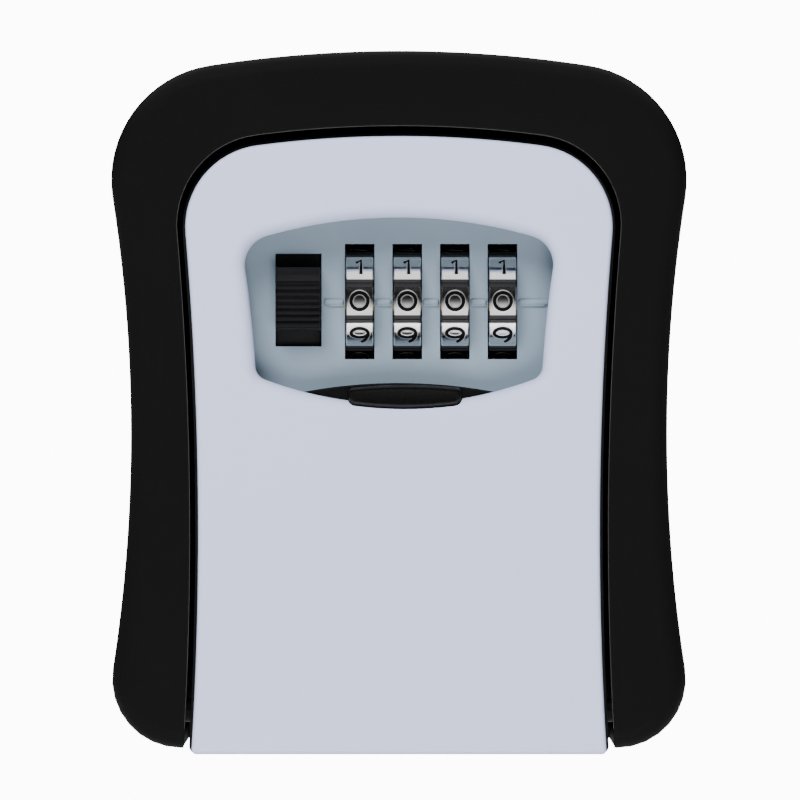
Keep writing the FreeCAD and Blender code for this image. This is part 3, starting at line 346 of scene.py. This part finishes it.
dress(faceplate, enamel, "door", "face_paint", "door_faceplate")


# ------------------------------------------------------------------- tray
# The tray under the bay is one satin blue-grey moulding: a land behind the shutter,
# a tub whose floor has the windows for slider and wheels, and bearers at the back.

def refined(name, node, bevel):
    """A merged copy of a CAD node with flat faces joined and its edges rounded by a width in mm."""
    bpy.ops.object.select_all(action="DESELECT")
    piece = bpy.data.objects.new(name, nodes[node].data.copy())
    bpy.context.scene.collection.objects.link(piece)
    piece.data.materials.clear()
    activate(piece)
    bpy.ops.object.mode_set(mode="EDIT")
    bpy.ops.mesh.select_all(action="SELECT")
    bpy.ops.mesh.remove_doubles(threshold=0.001 * MM)
    bpy.ops.mesh.dissolve_limited(angle_limit=math.radians(1.0))
    bpy.ops.object.mode_set(mode="OBJECT")
    modify(piece, "BEVEL", width=bevel * MM, segments=2, limit_method="ANGLE",
           angle_limit=math.radians(35), use_clamp_overlap=True)
    activate(piece)
    bpy.ops.object.shade_smooth_by_angle(angle=SMOOTH_BELOW)
    modify(piece, "WEIGHTED_NORMAL", mode="FACE_AREA", weight=100, keep_sharp=True)
    return piece


tray = refined("dial_tray", "dial_housing", 0.1)
tray_abs = surface_of("satin_blue_grey_abs", "#72818F", "#7E8D9A", 0.48, 0.3, 0.004, specular=0.3,
                      patch=12.0)
dress(tray, tray_abs, "door", "tray_plastic", "dial_housing")


# ------------------------------------------------------------ index marks
# A short rounded bar stands on the tray's floor beside each wheel, moulded with it,
# and together they mark the line where the code is read.

wheel_boxes = [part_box("number_wheel_%d" % number) for number in (1, 2, 3, 4)]
wheel_places = [(low + high) / 2 / MM for low, high in wheel_boxes]
WHEEL_PITCH = wheel_places[1].x - wheel_places[0].x
FLOOR_THICK = 1.2
floor_back = wheel_places[0].y - 4.8
floor_front = floor_back - FLOOR_THICK
MARK_HIGH, MARK_HALF_WIDE, MARK_ROUND = 1.1, 1.35, 0.42
MARK_PROUD, MARK_SUNK = 0.5, 0.6
FIRST_MARK_LEFT, LAST_MARK_RIGHT = -12.7, 25.4
LAST_MARK_GAP = 2.75
code_line = wheel_places[0].z - 0.1
between = [place.x - WHEEL_PITCH / 2 for place in wheel_places]
spans = [(x - MARK_HALF_WIDE, x + MARK_HALF_WIDE) for x in between]
spans[0] = (FIRST_MARK_LEFT, spans[0][1])
spans.append((wheel_places[3].x + LAST_MARK_GAP, LAST_MARK_RIGHT))
marks = []
for left, right in spans:
    mark = slab("index_mark", (left, floor_front - MARK_PROUD, code_line - MARK_HIGH / 2),
                (right, floor_front + MARK_SUNK, code_line + MARK_HIGH / 2))
    modify(mark, "BEVEL", width=MARK_ROUND * MM, segments=4)
    activate(mark)
    bpy.ops.object.shade_smooth_by_angle(angle=math.radians(50))
    marks.append(mark)


def joined(name, *parts):
    """Join finished parts into one piece."""
    bpy.ops.object.select_all(action="DESELECT")
    for part in parts:
        part.select_set(True)
    bpy.context.view_layer.objects.active = parts[0]
    bpy.ops.object.join()
    parts[0].name = name
    return parts[0]


index_marks = joined("index_marks", *marks)
dress(index_marks, tray_abs, "door", "tray_plastic")


# ---------------------------------------------------------- number wheels
# Each wheel is zinc, chromed bright, with ten slightly crowned faces. Every ridge has
# painted shade: dark grey shoulders and a black groove. Each face has a digit in black enamel.

WHEEL_WIDE = (wheel_boxes[0][1].x - wheel_boxes[0][0].x) / MM
APOTHEM = (wheel_boxes[0][1].y - wheel_boxes[0][0].y) / 2 / MM
FACES = 10
FACE_TURN = 2 * math.pi / FACES
HALF_FACE = APOTHEM * math.tan(FACE_TURN / 2)
CROWN = 0.36
SHOULDER = 0.6
GROOVE_HALF = 0.26
GROOVE_DEEP = 0.6
SHOULDER_DROP = 0.12
FLAT = HALF_FACE - GROOVE_HALF - SHOULDER
WHEEL_EDGE = 0.16
BORE, KEYWAY_REACH, KEYWAY_SIDE = 2.75, 3.4, 0.85

chrome = surface_of("bright_chrome_on_zinc", "#E2E1E0", "#EAE9E8", 0.13, 0.5, 0.0006, metallic=1.0,
                    swing=0.04, patch=3.0)
# Dark grey on the shoulders beside each ridge's groove: painted shade.
shoulder_painted_shade = surface_of("zinc_shoulder_painted_shade", "#2E2E30", "#363637", 0.5, 0.3, 0.001,
                            metallic=0.6, patch=3.0)
# Black enamel for the digits, and the same black painted as shade in the ridge grooves.
digit_fill_and_groove_shade = surface_of("black_enamel_digits_and_groove_shade", "#040404", "#070707", 0.45, 0.2, 0.001, specular=0.1)
digit_rim = surface_of("pressed_chrome_rim", "#EDEDED", "#F4F4F4", 0.35, 0.3, 0.001, metallic=1.0)


def face_profile():
    """Profile of one face, the same both ways, as (along the face, out from the axis)."""
    crown = [(FLAT * (i / 5 - 1), APOTHEM - CROWN * (i / 5 - 1) ** 2) for i in range(11)]
    groove_side = -HALF_FACE + GROOVE_HALF
    left = [(-HALF_FACE, APOTHEM - GROOVE_DEEP - 0.25), (groove_side, APOTHEM - GROOVE_DEEP),
            (groove_side, APOTHEM - CROWN - SHOULDER_DROP)]
    right = [(-x, out) for x, out in reversed(left[1:])]
    return left + crown + right


def wheel_blank(name, middle):
    """Ten-faced ring round the X axis, bevelled at both sides, with a bore and one keyway.

    Known fault: the faces follow each other one way round and the points of each face
    run the other way, so wide quads cross inside the rim where groove floors should be.
    """
    outline = []
    for face in range(FACES):
        turn = FACE_TURN * (face + 0.5)
        for along, out in face_profile():
            outline.append(Vector((along * math.cos(turn) - out * math.sin(turn),
                                   along * math.sin(turn) + out * math.cos(turn))))
    half = WHEEL_WIDE / 2
    ways = [point.normalized() for point in outline]
    bore = [way * (KEYWAY_REACH if way.y > KEYWAY_SIDE else BORE) for way in ways]
    shrunk = [point * (1 - WHEEL_EDGE / point.length) for point in outline]
    rings = [(bore, -half), (shrunk, -half), (outline, -half + WHEEL_EDGE),
             (outline, half - WHEEL_EDGE), (shrunk, half), (bore, half), (bore, -half)]
    piece = lofted(name, rings, closed=True)
    piece.data.transform(Matrix.Rotation(math.pi / 2, 4, "Z"))
    piece.data.transform(Matrix.Translation(middle * MM))
    activate(piece)
    bpy.ops.object.mode_set(mode="EDIT")
    bpy.ops.mesh.select_all(action="SELECT")
    bpy.ops.mesh.normals_make_consistent(inside=False)
    bpy.ops.object.mode_set(mode="OBJECT")
    bpy.ops.object.shade_smooth_by_angle(angle=math.radians(18))
    for material in (chrome, shoulder_painted_shade, digit_fill_and_groove_shade):
        piece.data.materials.append(material)
    for face in piece.data.polygons:
        spot = face.center / MM - middle
        turn = math.atan2(spot.z, -spot.y) % FACE_TURN
        out = math.hypot(spot.y, spot.z)
        along = out * math.sin(min(turn, FACE_TURN - turn))
        # Groove faces take the black as painted shade, shoulder faces take the dark grey painted shade,
        # and the rest stay chrome.
        if abs(face.normal.x) < 0.9 and out > 5:
            in_groove = along > HALF_FACE - GROOVE_HALF - 0.02
            face.material_index = 2 if in_groove else int(along > FLAT)
    return piece


def bend(x, y, wide, high, start, end):
    """Points of an elliptic arc between two angles in degrees, in a digit's unit box."""
    steps = max(4, round(abs(end - start) / 12))
    angles = [math.radians(start + (end - start) * i / steps) for i in range(steps + 1)]
    return [(x + wide * math.cos(a), y + high * math.sin(a)) for a in angles]


NINE = [bend(0, 0.2, 0.5, 0.3, 0, 360), bend(-0.12, 0.2, 0.62, 0.7, 0, -70)]
DIGIT_STROKES = {
    0: [bend(0, 0, 0.5, 0.5, 0, 360)],
    1: [[(-0.2, 0.3), (0.08, 0.5), (0.08, -0.5)]],
    2: [bend(0, 0.2, 0.42, 0.3, 165, -35) + [(-0.45, -0.5), (0.45, -0.5)]],
    3: [bend(-0.02, 0.25, 0.4, 0.25, 150, -90), bend(-0.02, -0.25, 0.46, 0.25, 90, -150)],
    4: [[(0.2, -0.5), (0.2, 0.5), (-0.46, -0.2), (0.46, -0.2)]],
    5: [[(0.38, 0.5), (-0.3, 0.5), (-0.36, 0.02)] + bend(0, -0.18, 0.44, 0.32, 125, -145)],
    6: [[(-x, -y) for x, y in stroke] for stroke in NINE],
    7: [[(-0.42, 0.5), (0.42, 0.5), (-0.1, -0.5)]],
    8: [bend(0, 0.25, 0.38, 0.25, 0, 360), bend(0, -0.25, 0.46, 0.25, 0, 360)],
    9: NINE,
}
DIGIT_WIDE, DIGIT_HIGH = 2.85, 2.9
FILL_HALF, FILL_PROUD = 0.36, 0.07
RIM_HALF, RIM_PROUD = 0.47, 0.035
CUT_EVERY = 0.4


def digit_mesh(digit, stroke_half, proud):
    """One digit as flattened tubes along its strokes, bent to its face of a wheel, in mm."""
    curve = bpy.data.curves.new("digit", "CURVE")
    curve.dimensions = "3D"
    curve.bevel_depth = stroke_half
    curve.bevel_resolution = 1
    curve.use_fill_caps = True
    for stroke in DIGIT_STROKES[digit]:
        spline = curve.splines.new("POLY")
        round_about = math.dist(stroke[0], stroke[-1]) < 0.001
        points = stroke[:-1] if round_about else stroke
        spline.points.add(len(points) - 1)
        for point, (x, y) in zip(spline.points, points):
            point.co = (x * DIGIT_WIDE, y * DIGIT_HIGH, 0, 1)
        spline.use_cyclic_u = round_about
    piece = bpy.data.objects.new("digit", curve)
    bpy.context.scene.collection.objects.link(piece)
    activate(piece)
    bpy.ops.object.convert(target="MESH")
    bpy.ops.object.mode_set(mode="EDIT")
    for step in range(-4, 5):
        bpy.ops.mesh.select_all(action="SELECT")
        bpy.ops.mesh.bisect(plane_co=(0, CUT_EVERY * step, 0), plane_no=(0, 1, 0))
    bpy.ops.object.mode_set(mode="OBJECT")
    mesh = piece.data
    mesh.transform(Matrix.Diagonal((1, 1, proud / stroke_half, 1)))
    for vert in mesh.vertices:
        across = min(abs(vert.co.y) / FLAT, 1.0)
        vert.co.z += APOTHEM - CROWN * across ** 2
    mesh.transform(Matrix.Rotation(math.pi / 2, 4, "X"))
    mesh.transform(Matrix.Rotation(-FACE_TURN * digit, 4, "X"))
    bpy.ops.object.shade_smooth_by_angle(angle=math.radians(60))
    return piece


def digits_on(number, middle):
    """All ten digits of one wheel, each a black fill with a bright rim round it."""
    parts = []
    for digit in range(FACES):
        rim = digit_mesh(digit, RIM_HALF, RIM_PROUD)
        rim.data.materials.append(digit_rim)
        fill = digit_mesh(digit, FILL_HALF, FILL_PROUD)
        fill.data.materials.append(digit_fill_and_groove_shade)
        parts += [rim, fill]
    piece = joined("digits_%d" % number, *parts)
    piece.data.transform(Matrix.Scale(MM, 4))
    piece.data.transform(Matrix.Translation(middle * MM))
    piece.matrix_world = Matrix.Identity(4)
    return piece


first_wheel = wheel_blank("wheel_chromed_1", wheel_places[0])
first_digits = digits_on(1, wheel_places[0])
for number, middle in enumerate(wheel_places, 1):
    wheel, digits = first_wheel, first_digits
    if number > 1:
        wheel = first_wheel.copy()
        wheel.data = first_wheel.data.copy()
        digits = first_digits.copy()
        digits.data = first_digits.data.copy()
        for piece, word in ((wheel, "wheel_chromed_%d"), (digits, "digits_%d")):
            piece.name = word % number
            bpy.context.scene.collection.objects.link(piece)
            piece.data.transform(Matrix.Translation((middle - wheel_places[0]) * MM))
    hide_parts("number_wheel_%d" % number)
    for piece in (wheel, digits):
        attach(piece, "wheel_%d" % number)


# ------------------------------------------------------------ open slider
# The slider that opens the door is moulded black acetal. Its pad has a wide top rib
# over a thumb groove and a row of fine ribs, and its base slides behind the floor.

slider_low, slider_high = (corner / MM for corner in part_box("open_slider"))
PAD_LEFT, PAD_RIGHT = -20.7, -13.3
PAD_LOW, PAD_HIGH = 12.1, 22.7
RIBS = 7
RIB_PITCH = 1.06
RIB_DEEP = 0.42
STEM_HALF_HIGH = 3


def pad_profile():
    """Side profile of the pad as (z, y): ribs from below, groove, wide rib and back."""
    front = slider_low.y
    points = [(PAD_LOW, front + 1.2), (PAD_LOW + 0.15, front + 0.5)]
    for index in range(RIBS):
        z = PAD_LOW + 0.35 + RIB_PITCH * index
        dish = 0.35 * math.sin(math.pi * (index + 0.5) / (RIBS + 1))
        points += [(z, front + RIB_DEEP + dish), (z + 0.22, front + dish),
                   (z + 0.64, front + dish), (z + 0.86, front + RIB_DEEP + dish)]
    points += [(PAD_HIGH - 3.9, front + 0.62), (PAD_HIGH - 2.4, front + 0.85),
               (PAD_HIGH - 2.35, front + 0.6), (PAD_HIGH - 1.4, front + 0.12),
               (PAD_HIGH - 1.3, front), (PAD_HIGH - 0.1, front + 0.3)]
    back = front + 4.6
    return points + [(PAD_HIGH, front + 0.5), (PAD_HIGH, back), (PAD_LOW, back)]


profile = pad_profile()
bpy.ops.object.select_all(action="DESELECT")
bpy.ops.mesh.primitive_circle_add(vertices=len(profile), radius=1.0)
pad = bpy.context.active_object
for vert, (z, y) in zip(pad.data.vertices, profile):
    vert.co = Vector((PAD_LEFT, y, z)) * MM
bpy.ops.object.mode_set(mode="EDIT")
bpy.ops.mesh.select_all(action="SELECT")
bpy.ops.mesh.extrude_edges_indiv()
bpy.ops.transform.translate(value=((PAD_RIGHT - PAD_LEFT) * MM, 0, 0))
bpy.ops.mesh.select_all(action="SELECT")
bpy.ops.mesh.fill_holes(sides=0)
bpy.ops.mesh.select_all(action="SELECT")
bpy.ops.mesh.normals_make_consistent(inside=False)
bpy.ops.object.mode_set(mode="OBJECT")
soften(pad, 0.07, 2, 30)
base = slab("slider_base", (slider_low.x, floor_back + 0.2, slider_low.z),
            (slider_high.x, floor_back + 1.4, slider_high.z))
soften(base, 0.15)
stem_middle = wheel_places[0].z
stem = slab("slider_stem", (PAD_LEFT + 1.5, floor_back + 1.2, stem_middle - STEM_HALF_HIGH),
            (PAD_RIGHT - 1.5, slider_high.y, stem_middle + STEM_HALF_HIGH))
soften(stem, 0.2)
slider = joined("open_slider_pad", pad, base, stem)
acetal = surface_of("black_acetal", "#0C0C0E", "#101012", 0.5, 0.25, 0.004, specular=0.2)
dress(slider, acetal, "latch", "slider_plastic", "open_slider")


# ---------------------------------------------------------------- shutter
# The dust shutter is a thin black ABS plate that parks behind the faceplate. Only
# its arched top shows, with a rounded grip bar that a fingernail lifts.

shutter_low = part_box("shutter")[0] / MM
plate_outline = Shield(waist=26.2, waist_height=-10.0, side=4000.0, top=3.2, arch=SHUTTER_ARCH,
                       corner=4.0, bottom=shutter_low.z, low_corner=1.5)
PLATE_THICK = 1.2
FRONT_EDGE, BACK_EDGE = 0.25, 0.15
plate_front = SKIN_BACK + 0.2
plate_back = plate_front + PLATE_THICK
rings = [(plate_outline.loop(-BACK_EDGE), plate_back), (plate_outline.loop(0), plate_back - BACK_EDGE),
         (plate_outline.loop(0), plate_front + FRONT_EDGE),
         (plate_outline.loop(-FRONT_EDGE), plate_front)]
plate = lofted("shutter_plate", rings)
grip_front = shutter_low.y
rings = [(grip.loop(0), plate_front + 0.3), (grip.loop(0), grip_front + 0.45),
         (grip.loop(-0.1), grip_front + 0.2), (grip.loop(-0.34), grip_front + 0.04),
         (grip.loop(-0.6), grip_front), (grip.loop(-0.8), grip_front + 0.02)]
grip_bar = lofted("shutter_grip", rings, shift=GRIP_SHIFT)
for part in (plate, grip_bar):
    activate(part)
    bpy.ops.object.shade_smooth_by_angle(angle=SMOOTH_BELOW)
dust_shutter = joined("dust_shutter", plate, grip_bar)
gloss_abs = surface_of("gloss_black_abs", "#030303", "#040404", 0.3, 0.4, 0.0005, specular=0.3)
dress(dust_shutter, gloss_abs, "shutter", "shutter_plastic", "shutter")


# ---------------------------------------------------------- cast key store
# The key store is the cast zinc box that is screwed to the wall and holds the keys,
# and the door's carrier is cast the same way. Both are black powder coated, which
# leaves a fine orange peel.

powder = surface_of("black_powder_coat_on_zinc", "#101011", "#141415", 0.55, 0.7, 0.01, specular=0.2)
key_store = refined("key_store", "inner_box", 0.25)
dress(key_store, powder, "box", "cast_body", "inner_box")
carrier = refined("door_carrier", "door_frame", 0.2)
dress(carrier, powder, "door", "cast_body", "door_frame")


# -------------------------------------------------------------- mechanism
# Behind the tray are a ground axle, brass code sleeves, a sprung steel comb that
# clicks the wheels, the latch plate, and a pressed lid that closes it all.

zinc = surface_of("bright_zinc_plate_on_steel", "#8F9092", "#A3A199", 0.34, 0.5, 0.003, metallic=1.0,
                  patch=6.0, stretch=(1, 1, 0.15))
screw_zinc = surface_of("zinc_plated_screw_steel", "#8A8A8C", "#9C9B98", 0.3, 0.3, 0.003, metallic=1.0,
                        patch=2.0)
ground = surface_of("ground_axle_steel", "#97989A", "#A6A7A9", 0.24, 0.3, 0.002, metallic=1.0,
                    stretch=(0.1, 1, 1))
black_oxide = surface_of("black_oxide_on_ground_steel", "#0E0E10", "#131315", 0.45, 0.3, 0.002,
                         specular=0.2, stretch=(0.1, 1, 1))
blued = surface_of("blued_spring_steel", "#4A4D55", "#5A5A60", 0.32, 0.3, 0.001, metallic=1.0, patch=2.0)
brass = surface_of("turned_brass", "#B39147", "#C2A159", 0.28, 0.25, 0.002, metallic=1.0, patch=3.0,
                   stretch=(8, 1, 1))
for node, name, body, material, slot, bevel in (
        ("mechanism_cover", "mechanism_lid", "door", zinc, "zinc_steel", 0.15),
        ("latch_plate", "latch_tongue", "latch", zinc, "zinc_steel", 0.12),
        ("strike_plate", "strike", "box", zinc, "zinc_steel", 0.15),
        ("detent_comb", "click_comb", "door", blued, "spring_steel", 0.05)):
    dress(refined(name, node, bevel), material, body, slot, node)
for node, material in (("strike_screws", screw_zinc), ("shell_screws", screw_zinc),
                       ("comb_screws", screw_zinc), ("cover_screws", screw_zinc),
                       ("faceplate_screws", screw_zinc), ("housing_screws", screw_zinc),
                       ("slider_screw", screw_zinc), ("hinge_pin_left", black_oxide),
                       ("hinge_pin_right", black_oxide), ("wheel_axle", ground), ("axle_clips", blued),
                       ("latch_spring_left", blued), ("latch_spring_right", blued),
                       ("code_spring", blued), ("code_sleeve_1", brass), ("code_sleeve_2", brass),
                       ("code_sleeve_3", brass), ("code_sleeve_4", brass)):
    nodes[node].data.materials.clear()
    nodes[node].data.materials.append(material)


# ------------------------------------------------------------- soft trims
# A red moulded tab sets a new code from inside the door, and two black rubber
# strips seal the sides of the key store against rain.

lever = refined("code_tab", "code_change_lever", 0.15)
red_abs = surface_of("red_moulded_abs", "#B4301F", "#C03A26", 0.4, 0.4, 0.004, specular=0.4)
dress(lever, red_abs, "code_lever", "lever_plastic", "code_change_lever")
rubber = surface_of("matt_black_rubber", "#141414", "#1B1B1B", 0.8, 0.25, 0.01, specular=0.3)
for side in ("left", "right"):
    seal = refined("rain_seal_" + side, "seal_" + side, 0.2)
    dress(seal, rubber, "box", "seal_rubber", "seal_" + side)


# ----------------------------------------------------------------- studio
# Plain pale floor below the door's swing, surroundings that are white to the camera
# and banded by height as light, a broad key light from above on the left, a low
# fill, and the camera straight in front.

bpy.ops.object.select_all(action="DESELECT")
bpy.ops.mesh.primitive_plane_add(size=1.6, location=(0, 0, -0.5))
floor = bpy.context.active_object
floor.name = "studio_floor"
pale = surface_of("pale_studio_paint", "#F2F2F2", "#F4F4F4", 0.8, 8.0, 0.01, specular=0.1, patch=400.0)
floor.data.materials.append(pale)

world = bpy.data.worlds.new("studio")
bpy.context.scene.world = world
world.use_nodes = True
tree = world.node_tree
tree.nodes.clear()
direction = add(tree, "ShaderNodeTexCoord").outputs["Generated"]
upright = add(tree, "ShaderNodeSeparateXYZ", Vector=direction).outputs["Z"]
bands = add(tree, "ShaderNodeMapRange", {"From Min": -1.0, "From Max": 1.0}, Value=upright)
ramp = add(tree, "ShaderNodeValToRGB", Fac=bands.outputs["Result"])
nadir, zenith = ramp.color_ramp.elements
nadir.position, zenith.position = 0.0, 1.0
nadir.color, zenith.color = (0.3, 0.3, 0.3, 1), (0.5, 0.5, 0.51, 1)
SKY_BANDS = ((0.14, 1.0), (0.34, 1.0), (0.42, 0.5), (0.50, 0.1),
             (0.57, 0.01), (0.76, 0.01), (0.84, 1.0), (0.93, 1.0))
for height, level in SKY_BANDS:
    stop = ramp.color_ramp.elements.new(height)
    stop.color = (level, level, level * 1.01, 1)
lit = add(tree, "ShaderNodeBackground", {"Strength": 1.5}, Color=ramp.outputs["Color"])
plain = add(tree, "ShaderNodeBackground", {"Color": (1, 1, 1, 1), "Strength": 12.0})
from_camera = add(tree, "ShaderNodeLightPath").outputs["Is Camera Ray"]
mixed = add(tree, "ShaderNodeMixShader")
tree.links.new(from_camera, mixed.inputs[0])
tree.links.new(lit.outputs[0], mixed.inputs[1])
tree.links.new(plain.outputs[0], mixed.inputs[2])
add(tree, "ShaderNodeOutputWorld", Surface=mixed.outputs[0])


def soft_light(name, place, target, size, power):
    """Square area light aimed at a point; size in metres, power in watts."""
    lamp = bpy.data.lights.new(name, "AREA")
    lamp.shape = "SQUARE"
    lamp.size = size
    lamp.energy = power
    light = bpy.data.objects.new(name, lamp)
    bpy.context.scene.collection.objects.link(light)
    light.location = place
    light.rotation_euler = (Vector(target) - Vector(place)).to_track_quat("-Z", "Y").to_euler()
    return light


ORIGIN = (0, 0, 0)
key = soft_light("key", (-0.25, -0.6, 0.62), ORIGIN, 0.4, 12.0)
fill = soft_light("fill", (0.1, -0.75, -0.36), ORIGIN, 0.35, 6.0)
for lamp in (key, fill):
    lamp.visible_glossy = False

CAMERA_AWAY = 0.9
AIM_X, AIM_Z = 0.17, 0.34
camera = bpy.data.cameras.new("camera")
camera.lens = 241.7
camera.sensor_width = 36.0
camera.clip_start = 0.05
view = bpy.data.objects.new("camera", camera)
bpy.context.scene.collection.objects.link(view)
view.location = (AIM_X * MM, FRONT * MM - CAMERA_AWAY, AIM_Z * MM)
view.rotation_euler = (math.pi / 2, 0, 0)
bpy.context.scene.camera = view
